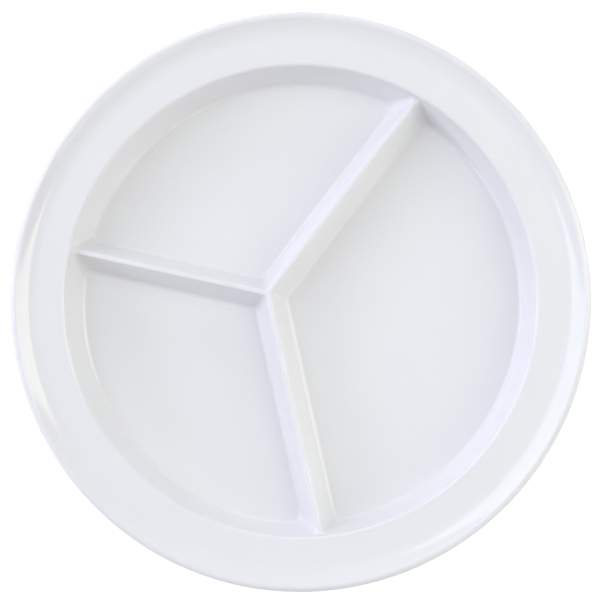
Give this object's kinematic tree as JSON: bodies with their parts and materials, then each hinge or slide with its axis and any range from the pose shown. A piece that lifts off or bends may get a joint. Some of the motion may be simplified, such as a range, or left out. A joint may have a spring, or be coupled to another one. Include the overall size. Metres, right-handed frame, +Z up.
{
  "type": "divided compartment plate",
  "caption": "Round white melamine dinner plate, its deep well split by low drafted dividers into a large and smaller compartments, with a turned-up rim and a foot.",
  "frame": {"origin": "middle of the plate's outline, on the surface that the foot stands on", "axes": "+Z up, out of the well; +X towards the middle of the large compartment; the plate is symmetrical about the XZ plane"},
  "size_m": [0.26, 0.26, 0.0265],
  "materials": {
    "melamine": "gloss"
  },
  "bodies": {
    "root": {"rim_lip": "melamine", "rim_flange": "melamine", "well_shoulder": "melamine", "compartment_large": "melamine", "compartment_left": "melamine", "compartment_right": "melamine", "divider_back": "melamine", "divider_left": "melamine", "divider_right": "melamine", "divider_hub": "melamine", "foot_large": "melamine", "foot_left": "melamine", "foot_right": "melamine"}
  },
  "joints": []
}
